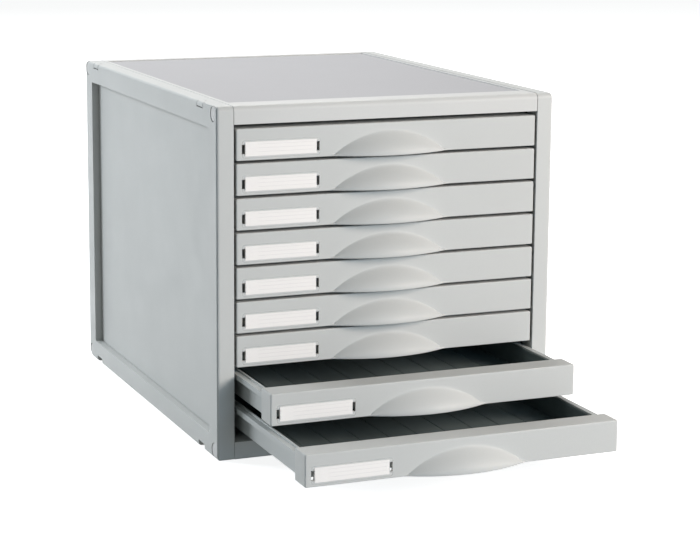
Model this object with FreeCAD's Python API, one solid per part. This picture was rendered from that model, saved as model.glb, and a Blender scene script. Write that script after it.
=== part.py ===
"""Desktop flat file cabinet with nine shallow drawers, drawn as separate plastic mouldings.

Frame: the origin is under the middle of the cabinet's footprint, +Z is up and the drawers
open towards -Y. All lengths are in millimetres.
"""
import FreeCAD, Part
import math
import os

# Cabinet body
cabinet_width = 290.0
cabinet_depth = 374.0
cabinet_height = 280.5
side_thickness = 14.2
top_rail_height = 14.6
bottom_rail_height = 13.8
front_rail_depth = 20.0
back_rail_depth = 16.0
plate_thickness = 3.5
back_panel_thickness = 3.0
back_panel_inset = 3.0
top_front_radius = 4.5
back_top_radius = 5.0
back_bottom_radius = 8.0

# Recess in the outside of each side wall, and the pocket behind it that takes the runner rack
recess_front_margin = 20.5
recess_back_margin = 20.5
recess_top_margin = 18.4
recess_bottom_margin = 17.7
recess_depth = 6.5
recess_corner_radius = 2.5
side_panel_thickness = 2.2
rack_pocket_overlap = 3.0

# Inlay in the top
inlay_side_margin = 3.5
inlay_front_margin = 23.0
inlay_back_margin = 14.0
inlay_pocket_depth = 2.0
inlay_thickness = 1.2

# Stacking notches along the bottom edge of the side walls
notch_length = 15.0
notch_height = 5.0
notch_from_front = 40.0
notch_from_back = 35.0

# Tie rods across the cabinet at its four corners
rod_radius = 3.0
rod_head_radius = 5.8
rod_head_thickness = 2.0
rod_head_sink = 0.3
rod_from_face = 8.5
rod_from_edge = 6.5
rod_clearance = 0.1
rod_head_clearance = 0.2

# Drawers
drawer_count = 9
drawer_gap = 2.3
stack_top_gap = 3.2
stack_bottom_gap = 6.0
front_side_clearance = 1.7
front_depth = 20.0
front_wall = 2.2
front_edge_radius = 1.1
pulled_out = {8: 76.5, 9: 147.5}
pull_limit = 270.0

# Finger grip: a cap cut from a sphere, open underneath
grip_width = 98.0
grip_reach = 12.5
grip_top_margin = 6.1

# Label holder and card
label_width = 64.4
label_height = 14.0
label_inset = 4.7
label_bottom_margin = 1.9
holder_thickness = 1.4
holder_corner_radius = 2.0
holder_slot_width = 2.6
holder_slot_height = 7.4
holder_rim = 1.4
card_thickness = 0.4

# Tray
tray_wall = 1.5
tray_floor = 1.4
tray_bottom_lift = 1.2
tray_back_clearance = 8.0
lip_drop = 2.5
lip_height = 1.0
flange_inset = 0.3
flange_width = 5.0
flange_wall = 1.3
flange_height = 4.5
stop_tab_length = 5.0
stop_tab_height = 2.5
stop_tab_width = 3.7

# Liner
liner_thickness = 0.7
liner_clearance = 0.1
liner_drop = 1.2
groove_pitch = 24.0
groove_width = 0.8
groove_depth = 0.4

# Runner racks and the strips on them
rack_thickness = 2.0
ledge_thickness = 2.2
ledge_clearance = 0.3
ledge_wall_clearance = 0.7
ledge_front_clearance = 2.0
guide_thickness = 1.5
guide_clearance = 0.4
guide_reach = 4.5
stop_length = 4.0
stop_clearance = 0.5
stop_drop_clearance = 0.8

# Sizes that follow from the ones above
half_width = cabinet_width / 2.0
half_depth = cabinet_depth / 2.0
front_y = -half_depth
back_y = half_depth
inner_x = half_width - side_thickness
opening_bottom = bottom_rail_height
opening_top = cabinet_height - top_rail_height
opening_height = opening_top - opening_bottom
stack_height = opening_height - stack_top_gap - stack_bottom_gap
drawer_pitch = (stack_height + drawer_gap) / drawer_count
front_height = drawer_pitch - drawer_gap
front_half_width = inner_x - front_side_clearance
back_panel_front_y = back_y - back_panel_inset - back_panel_thickness
tray_length = back_panel_front_y - tray_back_clearance - front_y - front_depth
tray_end = front_depth + tray_length
lip_top = front_height - lip_drop
flange_top = lip_top - lip_height
flange_bottom = flange_top - flange_height
flange_half_width = front_half_width - flange_inset
wall_outer_x = flange_half_width - flange_width
wall_inner_x = wall_outer_x - tray_wall
tray_floor_top = tray_bottom_lift + tray_floor
pocket_front_y = front_y + recess_front_margin - rack_pocket_overlap
pocket_back_y = back_y - recess_back_margin + rack_pocket_overlap
pocket_bottom_z = recess_bottom_margin - rack_pocket_overlap
pocket_top_z = cabinet_height - recess_top_margin + rack_pocket_overlap
rod_centres = {
    "front_top": (front_y + rod_from_face, cabinet_height - rod_from_edge),
    "front_bottom": (front_y + rod_from_face, rod_from_edge),
    "back_top": (back_y - rod_from_face, cabinet_height - rod_from_edge),
    "back_bottom": (back_y - rod_from_face, rod_from_edge),
}


def block(low_x, high_x, low_y, high_y, low_z, high_z):
    """A box given by its limits along each axis."""
    corner = FreeCAD.Vector(low_x, low_y, low_z)
    return Part.makeBox(high_x - low_x, high_y - low_y, high_z - low_z, corner)


def mirrored(shape):
    """The shape's mirror image on the other side of the cabinet."""
    return shape.mirror(FreeCAD.Vector(0, 0, 0), FreeCAD.Vector(1, 0, 0))


def crosswise_cylinder(radius, low_x, high_x, centre_y, centre_z):
    """A cylinder that lies along X."""
    start = FreeCAD.Vector(low_x, centre_y, centre_z)
    return Part.makeCylinder(radius, high_x - low_x, start, FreeCAD.Vector(1, 0, 0))


def edges_along(shape, axis, places):
    """The shape's straight edges along one axis that pass through given places.

    Each place is the pair of coordinates across the axis, in X, Y, Z order.
    """
    across = [index for index in range(3) if index != axis]
    found = []
    for edge in shape.Edges:
        box = edge.BoundBox
        low = (box.XMin, box.YMin, box.ZMin)
        high = (box.XMax, box.YMax, box.ZMax)
        if high[axis] - low[axis] < 1.0:
            continue
        for place in places:
            near = [
                abs(low[index] - value) < 1e-4 and abs(high[index] - value) < 1e-4
                for index, value in zip(across, place)
            ]
            if all(near):
                found.append(edge)
    return found


def rounded_outline(shape):
    """Rounds the long edges that every piece of the cabinet's outside shares."""
    shape = rounded_edge(shape, top_front_radius, front_y, cabinet_height)
    shape = rounded_edge(shape, back_top_radius, back_y, cabinet_height)
    return rounded_edge(shape, back_bottom_radius, back_y, 0.0)


def rounded_edge(shape, radius, edge_y, edge_z):
    """Fillets the edge along X at one corner of the side view, where the shape has one."""
    edges = edges_along(shape, 0, [(edge_y, edge_z)])
    return shape.makeFillet(radius, edges) if edges else shape


def rod_bores(low_x, high_x, tops):
    """Bores for the tie rods between two places along X, at the top or the bottom corners."""
    bores = []
    for name, (centre_y, centre_z) in rod_centres.items():
        if name.endswith("top") == tops:
            radius = rod_radius + rod_clearance
            bores.append(crosswise_cylinder(radius, low_x, high_x, centre_y, centre_z))
    return bores


def stacking_notches():
    """Cutters for the notches under the left wall, open at the bottom and on both faces."""
    cutters = []
    for centre_y in (front_y + notch_from_front, back_y - notch_from_back):
        low_y = centre_y - notch_length / 2.0
        cutters.append(block(-half_width - 1.0, -inner_x + 1.0, low_y, low_y + notch_length,
                             -1.0, notch_height))
    return cutters


def side_wall():
    """Left wall: a thick border around a panel set in from the outside."""
    wall = block(-half_width, -inner_x, front_y, back_y, 0.0, cabinet_height)
    wall = rounded_outline(wall)
    recess = block(-half_width - 1.0, -half_width + recess_depth,
                   front_y + recess_front_margin, back_y - recess_back_margin,
                   recess_bottom_margin, cabinet_height - recess_top_margin)
    corners = [(y, z)
               for y in (front_y + recess_front_margin, back_y - recess_back_margin)
               for z in (recess_bottom_margin, cabinet_height - recess_top_margin)]
    recess = recess.makeFillet(recess_corner_radius, edges_along(recess, 0, corners))
    pocket = block(-half_width + recess_depth + side_panel_thickness, -inner_x + 1.0,
                   pocket_front_y, pocket_back_y, pocket_bottom_z, pocket_top_z)
    cutters = [recess, pocket] + stacking_notches()
    for tops in (True, False):
        cutters += rod_bores(-half_width - 1.0, -inner_x + 1.0, tops)
    for centre_y, centre_z in rod_centres.values():
        cutters.append(crosswise_cylinder(rod_head_radius + rod_head_clearance, -half_width - 1.0,
                                          -half_width + rod_head_sink + rod_head_thickness,
                                          centre_y, centre_z))
    return wall.cut(cutters)


def top_panel():
    """Top between the walls: a plate with a rail at each end and a pocket for the inlay."""
    plate = block(-inner_x, inner_x, front_y, back_y, cabinet_height - plate_thickness,
                  cabinet_height)
    front_rail = block(-inner_x, inner_x, front_y, front_y + front_rail_depth, opening_top,
                       cabinet_height)
    back_rail = block(-inner_x, inner_x, back_y - back_rail_depth, back_y, opening_top,
                      cabinet_height)
    panel = rounded_outline(plate.fuse([front_rail, back_rail]).removeSplitter())
    return panel.cut([inlay_space(inlay_pocket_depth)] + rod_bores(-inner_x, inner_x, True))


def inlay_space(depth):
    """The inlay's outline, from the top pocket's floor up to a given depth above it."""
    floor_z = cabinet_height - inlay_pocket_depth
    return block(-inner_x + inlay_side_margin, inner_x - inlay_side_margin,
                 front_y + inlay_front_margin, back_y - inlay_back_margin,
                 floor_z, floor_z + depth)


def bottom_panel():
    """Bottom between the walls: a flat sheet that the cabinet stands on, with a rail at each end."""
    sheet = block(-inner_x, inner_x, front_y, back_y, 0.0, plate_thickness)
    front_rail = block(-inner_x, inner_x, front_y, front_y + front_rail_depth, 0.0, opening_bottom)
    back_rail = block(-inner_x, inner_x, back_y - back_rail_depth, back_y, 0.0, opening_bottom)
    panel = rounded_outline(sheet.fuse([front_rail, back_rail]).removeSplitter())
    return panel.cut(rod_bores(-inner_x, inner_x, False))


def back_panel():
    """Plain sheet that closes the back between the walls and the rails."""
    return block(-inner_x, inner_x, back_panel_front_y, back_panel_front_y + back_panel_thickness,
                 opening_bottom, opening_top)


def tie_rod(centre_y, centre_z):
    """Rod through both walls, with a flat round head at each end."""
    end_x = half_width - rod_head_sink
    shank = crosswise_cylinder(rod_radius, -end_x, end_x, centre_y, centre_z)
    left_head = crosswise_cylinder(rod_head_radius, -end_x, -end_x + rod_head_thickness,
                                   centre_y, centre_z)
    return shank.fuse([left_head, mirrored(left_head)]).removeSplitter()


def drawer_bottom(number):
    """Height of the bottom edge of a drawer's front. Number 1 is the top drawer."""
    steps_up = drawer_count - number
    return opening_bottom + stack_bottom_gap + steps_up * drawer_pitch


def runner_rack():
    """Left rack: the sheet in the wall's pocket that carries the runner strips."""
    return block(-inner_x - rack_thickness, -inner_x, pocket_front_y, pocket_back_y,
                 pocket_bottom_z, pocket_top_z)


def runner_strips():
    """Strips on the left rack: for each drawer a ledge, a guide above it and a stop block."""
    face_x = -inner_x
    ledge_x = -(wall_outer_x + ledge_wall_clearance)
    guide_x = face_x + guide_reach
    ledge_front_y = front_y + front_depth + ledge_front_clearance
    stop_back_y = front_y + tray_end - stop_tab_length - pull_limit - stop_clearance
    stop_front_y = stop_back_y - stop_length
    strips = []
    for number in range(1, drawer_count + 1):
        base_z = drawer_bottom(number)
        ledge_z = base_z + flange_bottom - ledge_clearance
        guide_z = base_z + flange_top + stop_tab_height + guide_clearance
        stop_z = base_z + flange_top + stop_drop_clearance
        strips.append(block(face_x, ledge_x, ledge_front_y, pocket_back_y,
                            ledge_z - ledge_thickness, ledge_z))
        strips.append(block(face_x, guide_x, stop_front_y, pocket_back_y,
                            guide_z, guide_z + guide_thickness))
        strips.append(block(face_x, guide_x, stop_front_y, stop_back_y, stop_z, guide_z))
    return Part.makeCompound(strips)


def grip_sphere(wall):
    """Sphere whose cap in front of the face makes the grip, smaller by a given wall."""
    half_span = grip_width / 2.0
    arch_height = front_height - grip_top_margin
    below = (half_span ** 2 - arch_height ** 2) / (2.0 * arch_height)
    behind = (half_span ** 2 - grip_reach ** 2) / (2.0 * grip_reach)
    radius = math.hypot(behind, below + arch_height)
    return Part.makeSphere(radius - wall, FreeCAD.Vector(0, behind, -below))


def label_left_x():
    """Left end of the label holder."""
    return -front_half_width + label_inset


def label_slots(low_y, high_y):
    """The two openings at the ends of the label holder, between two places along Y."""
    low_z = label_bottom_margin + (label_height - holder_slot_height) / 2.0
    cutters = []
    for low_x in (label_left_x(), label_left_x() + label_width - holder_slot_width):
        cutters.append(block(low_x, low_x + holder_slot_width, low_y, high_y,
                             low_z, low_z + holder_slot_height))
    return cutters


def drawer_front():
    """Front moulding: a shell open at the back and underneath, with the grip on its face."""
    shell = block(-front_half_width, front_half_width, 0.0, front_depth, 0.0, front_height)
    long_edges = edges_along(shell, 0, [(0.0, 0.0), (0.0, front_height)])
    end_edges = edges_along(shell, 2, [(-front_half_width, 0.0), (front_half_width, 0.0)])
    shell = shell.makeFillet(front_edge_radius, long_edges + end_edges)
    cap_space = block(-grip_width, grip_width, -2.0 * grip_reach, front_wall / 2.0,
                      0.0, front_height)
    shell = shell.fuse(grip_sphere(0.0).common(cap_space))
    hollow = block(-front_half_width + front_wall, front_half_width - front_wall,
                   front_wall, front_depth + 1.0, -1.0, front_height - front_wall)
    finger_space = block(-grip_width, grip_width, -2.0 * grip_reach, front_wall + 0.5,
                         -1.0, front_height - front_wall)
    finger_hollow = grip_sphere(front_wall).common(finger_space)
    return shell.cut([hollow, finger_hollow] + label_slots(-1.0, front_wall + 1.0))


def drawer_tray():
    """Open tray with a raised lip, and a hollow flange along each side that slides on a ledge."""
    front = front_depth
    body = block(-wall_outer_x, wall_outer_x, front, tray_end, tray_bottom_lift, lip_top)
    inside = block(-wall_inner_x, wall_inner_x, front + tray_wall, tray_end - tray_wall,
                   tray_floor_top, lip_top + 1.0)
    tray = body.cut(inside)
    flange = block(-flange_half_width, -wall_outer_x, front, tray_end, flange_bottom, flange_top)
    channel = block(-flange_half_width + flange_wall, -wall_outer_x, front + flange_wall,
                    tray_end - flange_wall, flange_bottom - 1.0, flange_top - flange_wall)
    tab = block(-flange_half_width, -flange_half_width + stop_tab_width,
                tray_end - stop_tab_length, tray_end, flange_top, flange_top + stop_tab_height)
    side = flange.cut(channel).fuse(tab)
    return tray.fuse([side, mirrored(side)]).removeSplitter()


def drawer_liner():
    """Dark liner on the tray's floor and walls, with grooves from front to back in its floor."""
    low_y = front_depth + tray_wall + liner_clearance
    high_y = tray_end - tray_wall - liner_clearance
    outer_x = wall_inner_x - liner_clearance
    liner = block(-outer_x, outer_x, low_y, high_y, tray_floor_top, lip_top - liner_drop)
    inner_half_width = outer_x - liner_thickness
    floor_z = tray_floor_top + liner_thickness
    inside = block(-inner_half_width, inner_half_width, low_y + liner_thickness,
                   high_y - liner_thickness, floor_z, lip_top)
    grooves_each_side = int((inner_half_width - groove_width) // groove_pitch)
    grooves = []
    for step in range(-grooves_each_side, grooves_each_side + 1):
        centre_x = step * groove_pitch
        grooves.append(block(centre_x - groove_width / 2.0, centre_x + groove_width / 2.0,
                             low_y + liner_thickness, high_y - liner_thickness,
                             floor_z - groove_depth, floor_z + 1.0))
    return liner.cut([inside] + grooves)


def label_holder():
    """Clear holder on the face, open at both ends, with a pocket behind it for the card."""
    left = label_left_x()
    right = left + label_width
    top = label_bottom_margin + label_height
    plate = block(left, right, -holder_thickness, 0.0, label_bottom_margin, top)
    corners = [(x, z) for x in (left, right) for z in (label_bottom_margin, top)]
    plate = plate.makeFillet(holder_corner_radius, edges_along(plate, 1, corners))
    return plate.cut([card_space()] + label_slots(-holder_thickness - 1.0, 1.0))


def card_space():
    """The room between the holder and the face, which the card fills."""
    left = label_left_x() + holder_slot_width
    return block(left, left + label_width - 2.0 * holder_slot_width, -card_thickness, 0.0,
                 label_bottom_margin + holder_rim,
                 label_bottom_margin + label_height - holder_rim)


def save(shape, node):
    """Writes one piece as a STEP file named after its node."""
    shape.exportStep("parts/" + node + ".step")


def save_cabinet():
    """The pieces that stay still."""
    wall = side_wall()
    rack = runner_rack()
    strips = runner_strips()
    save(wall, "side_wall_left")
    save(mirrored(wall), "side_wall_right")
    save(rack, "runner_rack_left")
    save(mirrored(rack), "runner_rack_right")
    save(strips, "runner_strips_left")
    save(mirrored(strips), "runner_strips_right")
    save(top_panel(), "top_panel")
    save(inlay_space(inlay_thickness), "top_inlay")
    save(bottom_panel(), "bottom_panel")
    save(back_panel(), "back_panel")
    for name, (centre_y, centre_z) in rod_centres.items():
        save(tie_rod(centre_y, centre_z), "tie_rod_" + name)


def save_drawers():
    """Nine equal drawers, each at its own height and pulled out by its own amount."""
    pieces = {
        "front": drawer_front(),
        "tray": drawer_tray(),
        "liner": drawer_liner(),
        "label_holder": label_holder(),
        "label_card": card_space(),
    }
    for number in range(1, drawer_count + 1):
        pull = pulled_out.get(number, 0.0)
        place = FreeCAD.Vector(0, front_y - pull, drawer_bottom(number))
        for name, shape in pieces.items():
            save(shape.translated(place), "drawer_" + str(number) + "_" + name)


os.makedirs("parts", exist_ok=True)
save_cabinet()
save_drawers()
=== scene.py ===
"""Looks of the desktop flat file cabinet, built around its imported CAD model.

Everything is in metres, in the model's own frame: the origin is under the middle of the
cabinet, +Z is up and the drawers open towards -Y.
"""
import math

import bmesh
import bpy
from mathutils import Matrix, Vector


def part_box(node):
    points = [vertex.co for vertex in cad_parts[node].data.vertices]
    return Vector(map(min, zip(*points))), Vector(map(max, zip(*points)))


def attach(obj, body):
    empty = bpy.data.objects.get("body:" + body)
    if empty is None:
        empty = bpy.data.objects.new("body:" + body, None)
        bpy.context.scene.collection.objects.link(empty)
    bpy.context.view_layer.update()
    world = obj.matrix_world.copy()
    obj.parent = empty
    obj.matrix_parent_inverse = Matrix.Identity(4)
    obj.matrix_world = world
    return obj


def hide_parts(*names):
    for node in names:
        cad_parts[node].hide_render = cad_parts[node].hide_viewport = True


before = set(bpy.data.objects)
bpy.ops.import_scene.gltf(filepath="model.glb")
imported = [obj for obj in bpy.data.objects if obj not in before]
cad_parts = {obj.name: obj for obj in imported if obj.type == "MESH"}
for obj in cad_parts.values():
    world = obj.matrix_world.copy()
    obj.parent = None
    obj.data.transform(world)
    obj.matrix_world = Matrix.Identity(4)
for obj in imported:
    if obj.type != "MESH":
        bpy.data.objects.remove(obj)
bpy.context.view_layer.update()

# Sizes of the casing, as in the CAD model
wall_low, wall_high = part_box("side_wall_left")
HALF_WIDTH = -wall_low.x
INNER_X = -wall_high.x
FRONT_Y = wall_low.y
BACK_Y = wall_high.y
HEIGHT = wall_high.z
TOP_FRONT_RADIUS = 0.0045
BACK_TOP_RADIUS = 0.005
BACK_BOTTOM_RADIUS = 0.008
FRONT_BOTTOM_RADIUS = 0.0008
OUTER_EDGE_RADIUS = 0.0024
INNER_EDGE_RADIUS = 0.0004
RECESS_SIDE_MARGIN = 0.0205
RECESS_TOP_MARGIN = 0.0184
RECESS_BOTTOM_MARGIN = 0.0177
RECESS_DEPTH = 0.0065
RECESS_CORNER = 0.0025
RECESS_FLARE = 0.0006
RECESS_FLARE_MIDDLE = 0.35
RACK_POCKET_WEB = 0.0022
NOTCH_LENGTH = 0.015
NOTCH_HEIGHT = 0.005
NOTCH_FROM_FRONT = 0.040
NOTCH_FROM_BACK = 0.035
CAP_RADIUS = 0.0062
CAP_DEPTH = 0.0023
LINE_WIDTH = 0.0009
LINE_DEPTH = 0.0018
TAB_LENGTH = 0.0155
TAB_HEIGHT = 0.005
CORNER_LINE_OFFSET = 0.0003
CORNER_LINE_WIDTH = 0.0005
CORNER_LINE_DEPTH = 0.0014
CORNER_LINE_REACH = 0.030
FRONT_SEAM_WIDTH = 0.0003
FRONT_SEAM_DEPTH = 0.0007
TOP_SEAM_WIDTH = 0.0011
TOP_SEAM_DEPTH = 0.0020
DOT_RADIUS = 0.0007
DOT_OFFSET = 0.0042
DOT_DEPTH = 0.0006
GROOVE_FOOT = 0.003
GROOVE_BEND_STEPS = 9
PLUG_STEPS = 48

# How far a cutter reaches past the face that it cuts
OVERCUT = 0.001

# Rounding of the edges of the CAD nodes that are kept
NODE_EDGE = 0.0003
STRIP_EDGE = 0.0002
LINER_EDGE = 0.00015

# Sizes of a drawer front
FRONT_DEPTH = 0.020
FRONT_WALL = 0.0022
FRONT_TOP_RADIUS = 0.0011
FRONT_BOTTOM_EDGE = 0.0005
FRONT_END_RADIUS = 0.0011
GRIP_HALF_WIDTH = 0.049
GRIP_TOP_MARGIN = 0.0061
GRIP_LIP = 0.0010
GRIP_START_SOFTNESS = 0.12
GRIP_TIP_SOFTNESS = 0.0012
GRIP_TIP_LENGTH = 0.009
GRIP_LOWEST_ARCH = 0.0016
GRIP_LIP_SHARE = 0.45
SIDE_STATION = 0.095
TIP_STATION_GAP = 0.004
TIP_STATION_STEP = 0.0006
TIP_STATIONS = 24
MIDDLE_STATIONS = 18
BODY_STEPS = 18
FACE_STEPS = 4
ARC_STEPS = 4

# Sizes of a label holder and its card
HOLDER_SLOT_WIDTH = 0.0026
HOLDER_SLOT_HEIGHT = 0.0074
HOLDER_CORNER = 0.002
HOLDER_EDGE = 0.0003
CARD_FRONT_GAP = 0.0001
CARD_CORNER = 0.0004

# How much of the floor's white doesn't depend on the lights
FLOOR_GLOW = 0.8
FLOOR_RADIUS = 40.0
FLOOR_WHITE = 0.82

# Camera: the view's turns in degrees, its place, and its lens in millimetres
CAMERA_YAW = 22.669
CAMERA_PITCH = 10.317
CAMERA_ROLL = -0.443
CAMERA_PLACE = (-0.6461, -1.6529, 0.4716)
CAMERA_LENS = 104.94
CAMERA_SENSOR = 36.0
CAMERA_SHIFT = -0.06

DRAWERS = range(1, 10)
SHARP_ANGLE = math.radians(32)

# Where the middle point of a small three-point rounding lies, as a share of its size
ROUND_SHARE = 0.3


def loft(sections):
    """A closed skin through equal closed sections, with a flat face at each end."""
    bm = bmesh.new()
    rings = [[bm.verts.new(point) for point in section] for section in sections]
    count = len(rings[0])
    for ring, following in zip(rings, rings[1:]):
        for step in range(count):
            after = (step + 1) % count
            bm.faces.new((ring[step], ring[after], following[after], following[step]))
    bm.faces.new(rings[0])
    bm.faces.new(rings[-1])
    bmesh.ops.recalc_face_normals(bm, faces=bm.faces)
    return bm


def rounded_rectangle(low, high, radii, inset):
    """Corner-rounded outline in a plane, moved inwards by an inset, as a list of pairs.

    The corners go round from low-low: (low, low), (high, low), (high, high), (low, high).
    """
    outline = []
    corners = ((0, 0, 180), (1, 0, 270), (1, 1, 0), (0, 1, 90))
    for (far_a, far_b, start), radius in zip(corners, radii):
        reach = max(radius, inset + 1e-5)
        centre_a = high[0] - reach if far_a else low[0] + reach
        centre_b = high[1] - reach if far_b else low[1] + reach
        for step in range(ARC_STEPS + 1):
            angle = math.radians(start + 90.0 * step / ARC_STEPS)
            outline.append((centre_a + (reach - inset) * math.cos(angle),
                            centre_b + (reach - inset) * math.sin(angle)))
    return outline


def along_x(outline, x):
    """The outline, given as Y and Z, as points in the plane at x."""
    return [Vector((x, y, z)) for y, z in outline]


def along_y(outline, y):
    """The outline, given as X and Z, as points in the plane at y."""
    return [Vector((x, y, z)) for x, z in outline]


def block(low, high):
    """A box between two corners, as a bmesh to cut with."""
    outline = [(low[1], low[2]), (high[1], low[2]), (high[1], high[2]), (low[1], high[2])]
    return loft([along_x(outline, low[0]), along_x(outline, high[0])])


def disc(centre_y, centre_z, radius, low_x, high_x):
    """A round plug along X, as a bmesh to cut with."""
    turn = [math.tau * step / PLUG_STEPS for step in range(PLUG_STEPS)]
    outline = [(centre_y + radius * math.cos(a), centre_z + radius * math.sin(a)) for a in turn]
    return loft([along_x(outline, low_x), along_x(outline, high_x)])


def temporary(name, bm):
    """An object that holds a bmesh for the time of one operation."""
    mesh = bpy.data.meshes.new(name)
    bm.to_mesh(mesh)
    bm.free()
    obj = bpy.data.objects.new(name, mesh)
    bpy.context.scene.collection.objects.link(obj)
    return obj


def carved(body, cutters):
    """The body with every cutter taken out of it."""
    base = temporary("base", body)
    tools = [temporary("tool", cutter) for cutter in cutters]
    for tool in tools:
        cut = base.modifiers.new("cut", "BOOLEAN")
        cut.operation = "DIFFERENCE"
        cut.solver = "EXACT"
        cut.object = tool
    shaped = base.evaluated_get(bpy.context.evaluated_depsgraph_get())
    result = bmesh.new()
    result.from_mesh(shaped.data)
    for obj in [base] + tools:
        bpy.data.objects.remove(obj)
    bmesh.ops.remove_doubles(result, verts=result.verts, dist=1e-6)
    return result


def mirrored(bm):
    """A copy of the bmesh on the other side of the cabinet."""
    other = bm.copy()
    bmesh.ops.scale(other, vec=(-1, 1, 1), verts=other.verts)
    bmesh.ops.reverse_faces(other, faces=other.faces)
    return other


def even_shading(obj):
    """Keeps flat faces flat where they meet rounded edges."""
    modifier = obj.modifiers.new("even_shading", "WEIGHTED_NORMAL")
    modifier.keep_sharp = True


def piece(name, bm, material, body, nodes, centre=Vector((0, 0, 0))):
    """Turns a bmesh into a finished piece that rides on a body and stands for CAD nodes."""
    bmesh.ops.translate(bm, vec=-centre, verts=bm.verts)
    for face in bm.faces:
        face.smooth = True
    for edge in bm.edges:
        if len(edge.link_faces) == 2:
            edge.smooth = edge.calc_face_angle() < SHARP_ANGLE
    obj = temporary(name, bm)
    obj.location = centre
    obj.data.materials.append(material)
    even_shading(obj)
    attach(obj, body)
    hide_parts(*nodes)
    return obj


def dressed(node, material, edge_width):
    """Gives a CAD node its material and slightly rounded edges."""
    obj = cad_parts[node]
    obj.data.materials.clear()
    obj.data.materials.append(material)
    seams = obj.modifiers.new("joined_seams", "WELD")
    seams.merge_threshold = 1e-6
    flats = obj.modifiers.new("flat_faces", "DECIMATE")
    flats.decimate_type = "DISSOLVE"
    flats.angle_limit = math.radians(1)
    edges = obj.modifiers.new("rounded_edges", "BEVEL")
    edges.width = edge_width
    edges.segments = 2
    edges.limit_method = "ANGLE"
    edges.angle_limit = math.radians(40)
    even_shading(obj)


# Materials


def linear(red, green, blue):
    """A colour given as 0-255 screen values, in the linear values that shaders take."""
    def channel(value):
        value /= 255.0
        return value / 12.92 if value <= 0.04045 else ((value + 0.055) / 1.055) ** 2.4
    return (channel(red), channel(green), channel(blue), 1.0)


def shaded(colour, factor):
    """The colour made lighter or darker by a factor."""
    return tuple(min(1.0, part * factor) for part in colour[:3]) + (1.0,)


class Recipe:
    """One material's node tree, with short calls for the nodes that the materials share."""

    def __init__(self, name):
        self.material = bpy.data.materials.new(name)
        self.material.use_nodes = True
        self.tree = self.material.node_tree
        self.shader = self.tree.nodes["Principled BSDF"]
        self.place = self.add("ShaderNodeTexCoord").outputs["Object"]

    def add(self, kind, inputs=(), **settings):
        """A new node; inputs pairs a socket's name or number with a value or an output."""
        node = self.tree.nodes.new(kind)
        for setting, value in settings.items():
            setattr(node, setting, value)
        for socket, value in dict(inputs).items():
            if isinstance(value, bpy.types.NodeSocket):
                self.tree.links.new(value, node.inputs[socket])
            else:
                node.inputs[socket].default_value = value
        return node

    def noise(self, scale, detail=2.0, roughness=0.5):
        """Noise over the object's own coordinates; scale is in cycles per metre."""
        node = self.add("ShaderNodeTexNoise", {"Vector": self.place, "Scale": scale,
                                               "Detail": detail, "Roughness": roughness})
        return node.outputs["Fac"]

    def math(self, operation, first, second=0.0):
        """One arithmetic step."""
        return self.add("ShaderNodeMath", {0: first, 1: second}, operation=operation).outputs[0]

    def ranged(self, value, low, high, new_low, new_high):
        """The value carried from one range to another and held inside it."""
        node = self.add("ShaderNodeMapRange", {"Value": value, "From Min": low, "From Max": high,
                                               "To Min": new_low, "To Max": new_high})
        return node.outputs["Result"]

    def mix(self, factor, first, second, blend="MIX"):
        """Two colours mixed."""
        node = self.add("ShaderNodeMix", {0: factor, 6: first, 7: second}, data_type="RGBA",
                        blend_type=blend)
        return node.outputs[2]

    def edges(self, radius):
        """1 along outside and inside edges, 0 on open faces."""
        soft = self.add("ShaderNodeBevel", {"Radius": radius}, samples=4).outputs[0]
        true = self.add("ShaderNodeNewGeometry").outputs["Normal"]
        facing = self.add("ShaderNodeVectorMath", {0: soft, 1: true},
                          operation="DOT_PRODUCT").outputs["Value"]
        return self.ranged(facing, 0.995, 0.80, 0.0, 1.0)

    def crevices(self, reach):
        """1 in open air, less in narrow gaps and inside corners."""
        return self.add("ShaderNodeAmbientOcclusion", {"Distance": reach}, samples=4).outputs["AO"]

    def bump(self, height, distance, strength=1.0, normal=None):
        """Surface relief from a height."""
        inputs = {"Height": height, "Distance": distance, "Strength": strength}
        if normal is not None:
            inputs["Normal"] = normal
        return self.add("ShaderNodeBump", inputs).outputs["Normal"]

    def wire(self, socket, output):
        """Feeds one of the shader's sockets."""
        self.tree.links.new(output, self.shader.inputs[socket])


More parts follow.
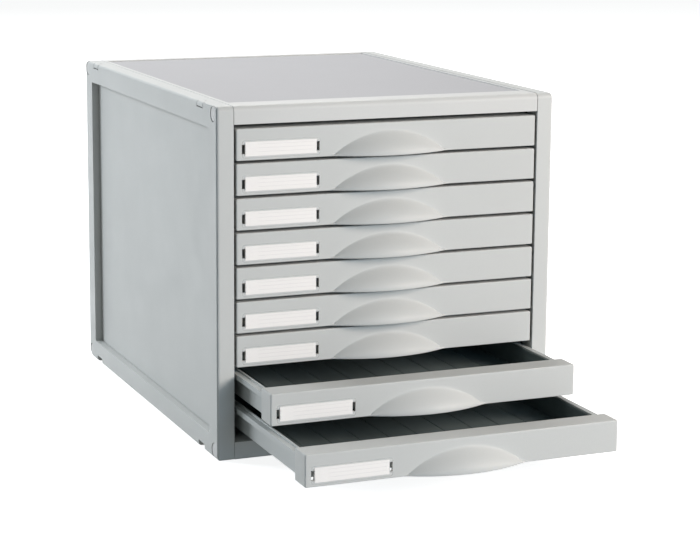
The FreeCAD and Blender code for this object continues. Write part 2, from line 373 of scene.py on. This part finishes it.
def moulded_plastic(name, colour, grain=1600.0, relief=0.00005, roughness=0.48, edge_wear_and_highlight=1.06):
    """Matt moulded plastic: fine spark-eroded grain, slow drift in tone, rubbed edges lightened as
    real wear and as a painted highlight, and painted shade in gaps and inside corners.
    """
    recipe = Recipe(name)
    drift = recipe.noise(7.0, 3.0)
    speck = recipe.noise(grain, 3.0, 0.6)
    smear = recipe.noise(38.0, 4.0, 0.65)
    tone = recipe.mix(recipe.ranged(drift, 0.3, 0.7, 0.0, 1.0), shaded(colour, 0.965),
                      shaded(colour, 1.025))
    tone = recipe.mix(recipe.ranged(speck, 0.35, 0.7, 0.0, 0.5), tone, shaded(colour, 0.93))
    # Rubbed edges: partly real wear, partly a painted highlight that lightens the colour along
    # every edge
    rubbed_and_highlit_edges = recipe.math("MULTIPLY", recipe.edges(0.0009), recipe.ranged(smear, 0.3, 0.7, 0.2, 0.9))
    tone = recipe.mix(rubbed_and_highlit_edges, tone, shaded(colour, edge_wear_and_highlight))
    # Painted shade: the colour darkens strongly in narrow gaps and inside corners, where shade
    # falls
    painted_crevice_shade = recipe.ranged(recipe.crevices(0.004), 0.12, 0.6, 0.92, 0.0)
    tone = recipe.mix(painted_crevice_shade, tone, shaded(colour, 0.3))
    recipe.wire("Base Color", tone)
    gloss = recipe.math("ADD", recipe.ranged(smear, 0.3, 0.7, roughness - 0.05, roughness + 0.07),
                        recipe.ranged(rubbed_and_highlit_edges, 0.0, 1.0, 0.0, -0.1))
    recipe.wire("Roughness", gloss)
    fine = recipe.bump(speck, relief)
    recipe.wire("Normal", recipe.bump(recipe.noise(60.0, 2.0), 0.0002, 0.15, fine))
    recipe.shader.inputs["IOR"].default_value = 1.5
    recipe.shader.inputs["Specular IOR Level"].default_value = 0.32
    return recipe.material


def pebbled_plastic(name, colour):
    """Coarse leather-like grain with scratches, for the inlay that things are put down on."""
    recipe = Recipe(name)
    warp = recipe.add("ShaderNodeTexVoronoi", {"Vector": recipe.place, "Scale": 820.0,
                                               "Randomness": 0.9},
                      feature="SMOOTH_F1").outputs["Distance"]
    fine = recipe.noise(2600.0, 2.0)
    drift = recipe.noise(6.0, 4.0)
    stretch = recipe.add("ShaderNodeMapping", {"Vector": recipe.place, "Scale": (26.0, 420.0, 1.0),
                                               "Rotation": (0.0, 0.0, 0.45)}).outputs[0]
    scratch = recipe.add("ShaderNodeTexNoise", {"Vector": stretch, "Scale": 1.0,
                                                "Detail": 3.0}).outputs["Fac"]
    scratch = recipe.ranged(scratch, 0.66, 0.74, 0.0, 0.35)
    tone = recipe.mix(recipe.ranged(drift, 0.3, 0.7, 0.0, 1.0), shaded(colour, 0.95),
                      shaded(colour, 1.03))
    tone = recipe.mix(recipe.ranged(warp, 0.1, 0.6, 0.0, 0.5), shaded(colour, 0.9), tone)
    tone = recipe.mix(scratch, tone, shaded(colour, 1.12))
    recipe.wire("Base Color", tone)
    recipe.wire("Roughness", recipe.ranged(drift, 0.3, 0.7, 0.5, 0.62))
    relief = recipe.bump(warp, 0.00018, 0.8)
    recipe.wire("Normal", recipe.bump(fine, 0.00003, 0.5, relief))
    recipe.shader.inputs["Specular IOR Level"].default_value = 0.35
    return recipe.material


def dark_lining(name, colour):
    """The drawers' dark inside: satin, faintly scuffed where paper slides over it."""
    recipe = Recipe(name)
    drift = recipe.noise(11.0, 3.0)
    speck = recipe.noise(1900.0, 2.0)
    stretch = recipe.add("ShaderNodeMapping",
                         {"Vector": recipe.place, "Scale": (300.0, 9.0, 300.0)}).outputs[0]
    scuff = recipe.add("ShaderNodeTexNoise", {"Vector": stretch, "Scale": 1.0,
                                              "Detail": 4.0}).outputs["Fac"]
    scuff = recipe.ranged(scuff, 0.5, 0.8, 0.0, 0.35)
    tone = recipe.mix(recipe.ranged(drift, 0.3, 0.7, 0.0, 1.0), shaded(colour, 0.8),
                      shaded(colour, 1.2))
    tone = recipe.mix(scuff, tone, shaded(colour, 1.7))
    edge = recipe.edges(0.0006)
    recipe.wire("Base Color", recipe.mix(edge, tone, shaded(colour, 1.35)))
    recipe.wire("Roughness", recipe.ranged(scuff, 0.0, 0.35, 0.5, 0.62))
    recipe.wire("Normal", recipe.bump(speck, 0.00004))
    recipe.shader.inputs["Specular IOR Level"].default_value = 0.3
    return recipe.material


def ruled_card(name, colour):
    """White card with faint ruled lines and a slight fibre grain."""
    recipe = Recipe(name)
    axes = recipe.add("ShaderNodeSeparateXYZ", {0: recipe.place})
    steps = recipe.math("FRACT", recipe.math("ADD", recipe.math("DIVIDE", axes.outputs["Z"],
                                                                0.0030), 10.25))
    near = recipe.math("ABSOLUTE", recipe.math("SUBTRACT", steps, 0.5))
    line = recipe.ranged(near, 0.04, 0.075, 0.22, 0.0)
    margin = recipe.ranged(axes.outputs["X"], -0.0195, -0.0185, 0.0, 1.0)
    end = recipe.ranged(axes.outputs["X"], 0.0275, 0.0280, 1.0, 0.0)
    line = recipe.math("MULTIPLY", line, recipe.math("MULTIPLY", margin, end))
    fibre = recipe.noise(1400.0, 4.0, 0.7)
    tone = recipe.mix(recipe.ranged(fibre, 0.3, 0.7, 0.0, 1.0), shaded(colour, 0.97), colour)
    recipe.wire("Base Color", recipe.mix(line, tone, linear(176, 172, 176)))
    recipe.wire("Roughness", recipe.ranged(fibre, 0.3, 0.7, 0.6, 0.75))
    recipe.wire("Normal", recipe.bump(fibre, 0.00002))
    return recipe.material


def clear_plastic(name):
    """Clear moulding: see-through and glossy, with faint haze and painted shade that greys its
    edges.
    """
    recipe = Recipe(name)
    haze = recipe.noise(500.0, 3.0)
    edge = recipe.edges(0.0007)
    tone = recipe.mix(recipe.ranged(haze, 0.3, 0.7, 0.0, 1.0), linear(226, 229, 230),
                      linear(240, 242, 242))
    # Painted shade: the edges are greyer, standing in for the darkening that refraction gives clear
    # edges
    recipe.wire("Base Color", recipe.mix(edge, tone, linear(132, 138, 140)))
    recipe.wire("Roughness", recipe.ranged(haze, 0.3, 0.7, 0.10, 0.22))
    recipe.wire("Alpha", recipe.ranged(edge, 0.0, 1.0, 0.02, 0.5))
    recipe.wire("Normal", recipe.bump(haze, 0.00002, 0.5))
    recipe.shader.inputs["IOR"].default_value = 1.49
    return recipe.material


casing_plastic = moulded_plastic("casing_plastic", linear(208, 210, 208))
top_plastic = moulded_plastic("top_plastic", linear(214, 215, 213))
front_plastic = moulded_plastic("front_plastic", linear(206, 208, 206), grain=1900.0, edge_wear_and_highlight=1.13)
tray_plastic = moulded_plastic("tray_plastic", linear(196, 200, 199), roughness=0.38)
rack_plastic = moulded_plastic("rack_plastic", linear(74, 78, 78), roughness=0.36)
cap_plastic = moulded_plastic("cap_plastic", linear(203, 204, 203), roughness=0.36)
inlay_plastic = pebbled_plastic("inlay_plastic", linear(182, 182, 185))
lining = dark_lining("lining", linear(112, 123, 124))
card_paper = ruled_card("card_paper", linear(253, 250, 247))
holder_plastic = clear_plastic("holder_plastic")


# Casing


def wall_blank():
    """The left wall before anything is cut from it, with rounded edges on both faces."""
    radii = (FRONT_BOTTOM_RADIUS, BACK_BOTTOM_RADIUS, BACK_TOP_RADIUS, TOP_FRONT_RADIUS)
    levels = []
    for step in range(ARC_STEPS + 1):
        angle = math.pi / 2 * step / ARC_STEPS
        levels.append((-HALF_WIDTH + OUTER_EDGE_RADIUS * (1 - math.sin(angle)),
                       OUTER_EDGE_RADIUS * (1 - math.cos(angle))))
    levels.reverse()
    for step in range(ARC_STEPS + 1):
        angle = math.pi / 2 * step / ARC_STEPS
        levels.append((-INNER_X - INNER_EDGE_RADIUS * (1 - math.sin(angle)),
                       INNER_EDGE_RADIUS * (1 - math.cos(angle))))
    sections = []
    for x, inset in levels:
        outline = rounded_rectangle((FRONT_Y, 0.0), (BACK_Y, HEIGHT), radii, inset)
        sections.append(along_x(outline, x))
    return loft(sections)


def recess_cutter():
    """The shallow recess in the outside of the wall, with a flared mouth."""
    low = (FRONT_Y + RECESS_SIDE_MARGIN, RECESS_BOTTOM_MARGIN)
    high = (BACK_Y - RECESS_SIDE_MARGIN, HEIGHT - RECESS_TOP_MARGIN)
    radii = [RECESS_CORNER] * 4
    halfway = RECESS_FLARE * RECESS_FLARE_MIDDLE
    levels = ((-OVERCUT, -RECESS_FLARE - OVERCUT), (0.0, -RECESS_FLARE), (halfway, -halfway),
              (RECESS_FLARE, 0.0), (RECESS_DEPTH, 0.0))
    return loft([along_x(rounded_rectangle(low, high, radii, inset), -HALF_WIDTH + depth)
                 for depth, inset in levels])


def rack_pocket():
    """Room behind the recess for the runner rack."""
    low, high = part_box("runner_rack_left")
    return block((-HALF_WIDTH + RECESS_DEPTH + RACK_POCKET_WEB, low.y, low.z),
                 (-INNER_X + OVERCUT, high.y, high.z))


def notch_cutters():
    """Notches under the wall that fit over the tabs of a cabinet below."""
    cutters = []
    for centre in (FRONT_Y + NOTCH_FROM_FRONT, BACK_Y - NOTCH_FROM_BACK):
        cutters.append(block((-HALF_WIDTH - OVERCUT, centre - NOTCH_LENGTH / 2, -OVERCUT),
                             (-INNER_X + OVERCUT, centre + NOTCH_LENGTH / 2, NOTCH_HEIGHT)))
    return cutters


def cap_bores():
    """Round sinks for the heads of the tie rods."""
    cutters = []
    for name in ("front_top", "front_bottom", "back_top", "back_bottom"):
        low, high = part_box("tie_rod_" + name)
        cutters.append(disc((low.y + high.y) / 2, (low.z + high.z) / 2, CAP_RADIUS,
                            -HALF_WIDTH - OVERCUT, -HALF_WIDTH + CAP_DEPTH))
    return cutters


def tab_lines():
    """Thin outlines of the closed stacking tabs at the top of the wall, and a dot above each."""
    cutters = []
    face = -HALF_WIDTH + LINE_DEPTH
    for centre in (FRONT_Y + NOTCH_FROM_FRONT, BACK_Y - NOTCH_FROM_BACK):
        low_y, high_y = centre - TAB_LENGTH / 2, centre + TAB_LENGTH / 2
        low_z = HEIGHT - TAB_HEIGHT
        for y in (low_y, high_y - LINE_WIDTH):
            cutters.append(block((-HALF_WIDTH - OVERCUT, y, low_z + LINE_WIDTH),
                                 (face, y + LINE_WIDTH, HEIGHT + OVERCUT)))
        cutters.append(block((-HALF_WIDTH - OVERCUT, low_y, low_z),
                             (face, high_y, low_z + LINE_WIDTH)))
        cutters.append(block((-HALF_WIDTH + DOT_OFFSET, centre - DOT_RADIUS, HEIGHT - DOT_DEPTH),
                             (-HALF_WIDTH + DOT_OFFSET + 2 * DOT_RADIUS, centre + DOT_RADIUS,
                              HEIGHT + OVERCUT)))
    return cutters


def edge_groove(side, width, depth, reach):
    """A groove down the wall's front edge, over the rounded corner and back along the top."""
    centre_y, centre_z = FRONT_Y + TOP_FRONT_RADIUS, HEIGHT - TOP_FRONT_RADIUS
    outer = TOP_FRONT_RADIUS + OVERCUT
    inner = TOP_FRONT_RADIUS - depth
    bend = [math.radians(180 - 90 * step / GROOVE_BEND_STEPS)
            for step in range(GROOVE_BEND_STEPS + 1)]
    outline = [(centre_y - outer, GROOVE_FOOT)]
    outline += [(centre_y + outer * math.cos(a), centre_z + outer * math.sin(a)) for a in bend]
    outline += [(FRONT_Y + reach, centre_z + outer), (FRONT_Y + reach, centre_z + inner)]
    outline += [(centre_y + inner * math.cos(a), centre_z + inner * math.sin(a))
                for a in reversed(bend)]
    outline.append((centre_y - inner, GROOVE_FOOT))
    return loft([along_x(outline, side), along_x(outline, side + width)])


def wall_grooves():
    """The line by the wall's outer corner, and the seam between the wall and the top panel."""
    corner = edge_groove(-HALF_WIDTH + CORNER_LINE_OFFSET, CORNER_LINE_WIDTH,
                         CORNER_LINE_DEPTH, CORNER_LINE_REACH)
    seam = edge_groove(-INNER_X - FRONT_SEAM_WIDTH, FRONT_SEAM_WIDTH + OVERCUT,
                       FRONT_SEAM_DEPTH, CORNER_LINE_REACH)
    top_seam = block((-INNER_X - TOP_SEAM_WIDTH, FRONT_Y + TOP_FRONT_RADIUS,
                      HEIGHT - TOP_SEAM_DEPTH),
                     (-INNER_X + OVERCUT, BACK_Y - BACK_TOP_RADIUS, HEIGHT + OVERCUT))
    return [corner, seam, top_seam]


def build_walls():
    """Both side walls."""
    cutters = [recess_cutter(), rack_pocket()]
    cutters += wall_grooves() + notch_cutters() + cap_bores() + tab_lines()
    wall = carved(wall_blank(), cutters)
    right = mirrored(wall)
    piece("left_wall", wall, casing_plastic, "cabinet", ["side_wall_left"])
    piece("right_wall", right, casing_plastic, "cabinet", ["side_wall_right"])


def dress_cabinet():
    """Materials for the cabinet's CAD nodes that are kept."""
    dressed("top_panel", top_plastic, INNER_EDGE_RADIUS)
    for node in ("bottom_panel", "back_panel"):
        dressed(node, casing_plastic, INNER_EDGE_RADIUS)
    dressed("top_inlay", inlay_plastic, NODE_EDGE)
    for name in ("front_top", "front_bottom", "back_top", "back_bottom"):
        dressed("tie_rod_" + name, cap_plastic, NODE_EDGE)
    for name in ("left", "right"):
        dressed("runner_rack_" + name, rack_plastic, NODE_EDGE)
        dressed("runner_strips_" + name, rack_plastic, STRIP_EDGE)


# Drawers


def circle_cap(x, half_span, rise):
    """Height above its chord of an arc with a given half span and rise, negative past its ends."""
    radius = (half_span ** 2 + rise ** 2) / (2 * rise)
    return math.sqrt(radius ** 2 - x ** 2) - (radius - rise)


def grip_at(x, height, reach):
    """How high the grip's arch stands and how far its lip reaches out, at one place along X."""
    arch = max(circle_cap(x, GRIP_HALF_WIDTH, height - GRIP_TOP_MARGIN),
               GRIP_LOWEST_ARCH)
    cap = circle_cap(x, GRIP_HALF_WIDTH, reach)
    lip = (cap + math.hypot(cap, GRIP_TIP_SOFTNESS)) / 2
    fade = (GRIP_HALF_WIDTH + GRIP_TIP_LENGTH - abs(x)) / GRIP_TIP_LENGTH
    return arch, lip * max(0.0, min(1.0, fade))


def front_section(x, height, reach):
    """Outer and inner lines of the front at one place along X, both from the bottom up."""
    arch, lip = GRIP_LOWEST_ARCH, 0.0
    if abs(x) < GRIP_HALF_WIDTH + GRIP_TIP_LENGTH:
        arch, lip = grip_at(x, height, reach)
    edge = FRONT_BOTTOM_EDGE
    lip_height = min(GRIP_LIP, GRIP_LIP_SHARE * arch)
    outer = [(-lip + edge, 0.0), (-lip + ROUND_SHARE * edge, ROUND_SHARE * edge), (-lip, edge)]
    for step in range(BODY_STEPS + 1):
        share = 1.0 - step / BODY_STEPS
        swell = share * share * (1.0 + GRIP_START_SOFTNESS) / (share + GRIP_START_SOFTNESS)
        outer.append((-lip * math.sin(math.pi / 2 * swell),
                      lip_height + (arch - lip_height) * (1.0 - share)))
    inner = [(y + FRONT_WALL, z) for y, z in outer]
    face_top = height - FRONT_TOP_RADIUS
    for step in range(1, FACE_STEPS + 1):
        share = step / FACE_STEPS
        outer.append((0.0, arch + (face_top - arch) * share))
        inner.append((FRONT_WALL, arch + (height - FRONT_WALL - arch) * share))
    for step in range(1, ARC_STEPS + 1):
        angle = math.pi / 2 * step / ARC_STEPS
        outer.append((FRONT_TOP_RADIUS * (1 - math.cos(angle)),
                      face_top + FRONT_TOP_RADIUS * math.sin(angle)))
    outer.append((FRONT_DEPTH, height))
    inner.append((FRONT_DEPTH, height - FRONT_WALL))
    return outer, inner


def end_section(inset, height):
    """The front's solid end: the same number of points as a hollow section, all on its rim."""
    outer, inner = front_section(1.0, height, 0.0)
    corner = len(inner) // 2
    rim = []
    for step in range(len(inner)):
        if step < corner:
            y = outer[0][0] + (FRONT_DEPTH - outer[0][0]) * (step + 1) / (corner + 1)
            rim.append((y, 0.0))
        else:
            share = (step - corner) / (len(inner) - 1 - corner)
            rim.append((FRONT_DEPTH, (height - FRONT_WALL) * share))
    loop = outer + rim[::-1]
    middle = height / 2
    return [(FRONT_DEPTH - (FRONT_DEPTH - y) * (FRONT_DEPTH - inset) / FRONT_DEPTH,
             middle + (z - middle) * (middle - inset) / middle) for y, z in loop]


def front_stations(half_width):
    """Places along X where the front's section is drawn, ends left out."""
    last = half_width - FRONT_WALL
    tip = GRIP_HALF_WIDTH + GRIP_TIP_LENGTH
    places = [last, SIDE_STATION, tip + TIP_STATION_GAP]
    places += [tip - TIP_STATION_STEP * step for step in range(TIP_STATIONS)]
    near = places[-1]
    places += [near * (1 - step / MIDDLE_STATIONS) for step in range(1, MIDDLE_STATIONS)]
    return sorted([-x for x in places] + [0.0] + places)


def front_shell(half_width, height, reach):
    """The front as a shell open behind and below, with the grip on its face."""
    sections = []
    for x in front_stations(half_width):
        outer, inner = front_section(x, height, reach)
        sections.append([Vector((x, y, z)) for y, z in outer + inner[::-1]])
    ends = []
    for step in range(ARC_STEPS + 1):
        angle = math.pi / 2 * step / ARC_STEPS
        inset = FRONT_END_RADIUS * (1 - math.cos(angle))
        x = half_width - FRONT_END_RADIUS * (1 - math.sin(angle))
        ends.append((x, end_section(inset, height)))
    ends.insert(0, (half_width - FRONT_WALL, end_section(0.0, height)))
    left = [[Vector((-x, y, z)) for y, z in loop] for x, loop in reversed(ends)]
    right = [[Vector((x, y, z)) for y, z in loop] for x, loop in ends]
    return loft(left + sections + right)


def slot_cutters(low, high):
    """The two openings behind the ends of a label holder, as cutters through the face."""
    middle = (low.z + high.z) / 2
    cutters = []
    for x in (low.x, high.x - HOLDER_SLOT_WIDTH):
        cutters.append(block((x, low.y - OVERCUT, middle - HOLDER_SLOT_HEIGHT / 2),
                             (x + HOLDER_SLOT_WIDTH, high.y + FRONT_WALL + OVERCUT,
                              middle + HOLDER_SLOT_HEIGHT / 2)))
    return cutters


def build_fronts():
    """Nine equal fronts, drawn once and moved to each drawer's place."""
    low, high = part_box("drawer_1_front")
    holder_low, holder_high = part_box("drawer_1_label_holder")
    place = Vector((0.0, high.y - FRONT_DEPTH, low.z))
    shell = front_shell(high.x, high.z - low.z, place.y - low.y)
    master = carved(shell, slot_cutters(holder_low - place, holder_high - place))
    for number in DRAWERS:
        node = "drawer_%d_front" % number
        low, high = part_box(node)
        front = master.copy()
        bmesh.ops.translate(front, vec=(0.0, high.y - FRONT_DEPTH, low.z), verts=front.verts)
        piece("drawer_%d_face" % number, front, front_plastic, "drawer_%d" % number,
              [node])
    master.free()


def holder_outline(half_length, half_height, inset):
    """The holder's outline with a notch in each end, as X and Z about its middle."""
    slot = HOLDER_SLOT_HEIGHT / 2 + inset
    depth = HOLDER_SLOT_WIDTH + inset
    half = []
    for step in range(ARC_STEPS + 1):
        angle = math.pi / 2 * step / ARC_STEPS
        half.append((half_length - HOLDER_CORNER + (HOLDER_CORNER - inset) * math.sin(angle),
                     half_height - HOLDER_CORNER + (HOLDER_CORNER - inset) * math.cos(angle)))
    half += [(half_length - inset, slot), (half_length - depth, slot)]
    right = half + [(x, -z) for x, z in reversed(half)]
    return right + [(-x, -z) for x, z in right]


def build_holder(body):
    """The clear holder on one drawer, from just before its card to its rounded front edge."""
    low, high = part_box(body + "_label_holder")
    middle = (low + high) / 2
    size = high - low
    card_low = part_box(body + "_label_card")[0]
    levels = ((card_low.y - CARD_FRONT_GAP - middle.y, 0.0), (-size.y / 2 + HOLDER_EDGE, 0.0),
              (-size.y / 2 + HOLDER_EDGE * ROUND_SHARE, HOLDER_EDGE * ROUND_SHARE),
              (-size.y / 2, HOLDER_EDGE))
    holder = loft([along_y(holder_outline(size.x / 2, size.z / 2, inset), y)
                   for y, inset in levels])
    bmesh.ops.translate(holder, vec=middle, verts=holder.verts)
    clear = piece(body + "_holder", holder, holder_plastic, body,
                  [body + "_label_holder"], middle)
    # Its shadow, and the painted crevice shade that it would bring onto the face behind it, would
    # draw a dark band round the card
    clear.visible_shadow = False


def build_card(body):
    """The card behind the holder on one drawer."""
    low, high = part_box(body + "_label_card")
    half = (high - low) / 2
    centre = (low + high) / 2
    outline = rounded_rectangle((-half.x, -half.z), (half.x, half.z), [CARD_CORNER] * 4, 0.0)
    card = loft([along_y(outline, -half.y), along_y(outline, half.y)])
    bmesh.ops.translate(card, vec=centre, verts=card.verts)
    piece(body + "_card", card, card_paper, body, [body + "_label_card"], centre)


def build_labels():
    """A clear holder and a card behind it on each drawer."""
    for number in DRAWERS:
        body = "drawer_%d" % number
        build_holder(body)
        build_card(body)


def dress_drawers():
    """Materials for the trays and liners."""
    for number in DRAWERS:
        dressed("drawer_%d_tray" % number, tray_plastic, NODE_EDGE)
        dressed("drawer_%d_liner" % number, lining, LINER_EDGE)


# Surroundings


def build_floor():
    """A plain pale floor, far wider than any view."""
    bpy.ops.mesh.primitive_circle_add(vertices=64, radius=FLOOR_RADIUS, fill_type="NGON",
                                      location=(0.0, 0.0, 0.0))
    floor = bpy.context.object
    floor.name = "floor"
    recipe = Recipe("floor_paint")
    recipe.shader.inputs["Base Color"].default_value = (FLOOR_WHITE,) * 3 + (1.0,)
    recipe.shader.inputs["Roughness"].default_value = 0.9
    recipe.shader.inputs["Specular IOR Level"].default_value = 0.1
    recipe.shader.inputs["Emission Color"].default_value = (1.0, 1.0, 1.0, 1.0)
    recipe.shader.inputs["Emission Strength"].default_value = FLOOR_GLOW
    floor.data.materials.append(recipe.material)
    # The glow would light the cabinet's matt surfaces from below
    floor.visible_diffuse = False


def area_light(name, place, size, power, colour):
    """A square soft light aimed at the middle of the cabinet."""
    data = bpy.data.lights.new(name, "AREA")
    data.shape = "SQUARE"
    data.size = size
    data.energy = power
    data.color = colour
    lamp = bpy.data.objects.new(name, data)
    lamp.location = place
    aim = Vector((0.0, FRONT_Y / 2, HEIGHT / 2)) - Vector(place)
    lamp.rotation_mode = "QUATERNION"
    lamp.rotation_quaternion = aim.to_track_quat("-Z", "Y")
    bpy.context.scene.collection.objects.link(lamp)


def build_lights():
    """Dim even surroundings, two wide lights behind, a low warm key and a cool front fill."""
    world = bpy.data.worlds.new("studio")
    world.use_nodes = True
    background = world.node_tree.nodes["Background"]
    background.inputs["Color"].default_value = (0.94, 1.0, 1.0, 1.0)
    background.inputs["Strength"].default_value = 0.17
    bpy.context.scene.world = world
    area_light("high_back", (0.3, 2.15, 2.4), 2.2, 76.0, (0.99, 0.98, 0.98))
    area_light("left_back", (-2.0, 1.85, 1.2), 1.2, 60.0, (0.9, 0.95, 1.0))
    area_light("right_front", (1.15, -1.55, 0.75), 0.8, 32.0, (1.0, 0.89, 0.81))
    area_light("front_fill", (0.4, -2.3, 0.5), 1.0, 11.0, (0.5, 0.76, 1.0))


def build_camera():
    """The camera, from the front left and a little above."""
    yaw, pitch, roll = (math.radians(turn) for turn in (CAMERA_YAW, CAMERA_PITCH, CAMERA_ROLL))
    forward = Vector((math.sin(yaw) * math.cos(pitch), math.cos(yaw) * math.cos(pitch),
                      -math.sin(pitch)))
    level = Vector((math.cos(yaw), -math.sin(yaw), 0.0))
    down = forward.cross(level)
    right = level * math.cos(roll) + down * math.sin(roll)
    down = down * math.cos(roll) - level * math.sin(roll)
    data = bpy.data.cameras.new("camera")
    data.sensor_width = CAMERA_SENSOR
    data.lens = CAMERA_LENS
    data.shift_y = CAMERA_SHIFT
    data.clip_start = 0.05
    data.clip_end = 100.0
    camera = bpy.data.objects.new("camera", data)
    turn = Matrix((right, -down, -forward)).transposed()
    camera.matrix_world = Matrix.Translation(CAMERA_PLACE) @ turn.to_4x4()
    bpy.context.scene.collection.objects.link(camera)
    bpy.context.scene.camera = camera


build_walls()
dress_cabinet()
build_fronts()
build_labels()
dress_drawers()
build_floor()
build_lights()
build_camera()
bpy.context.scene.view_settings.view_transform = "Standard"
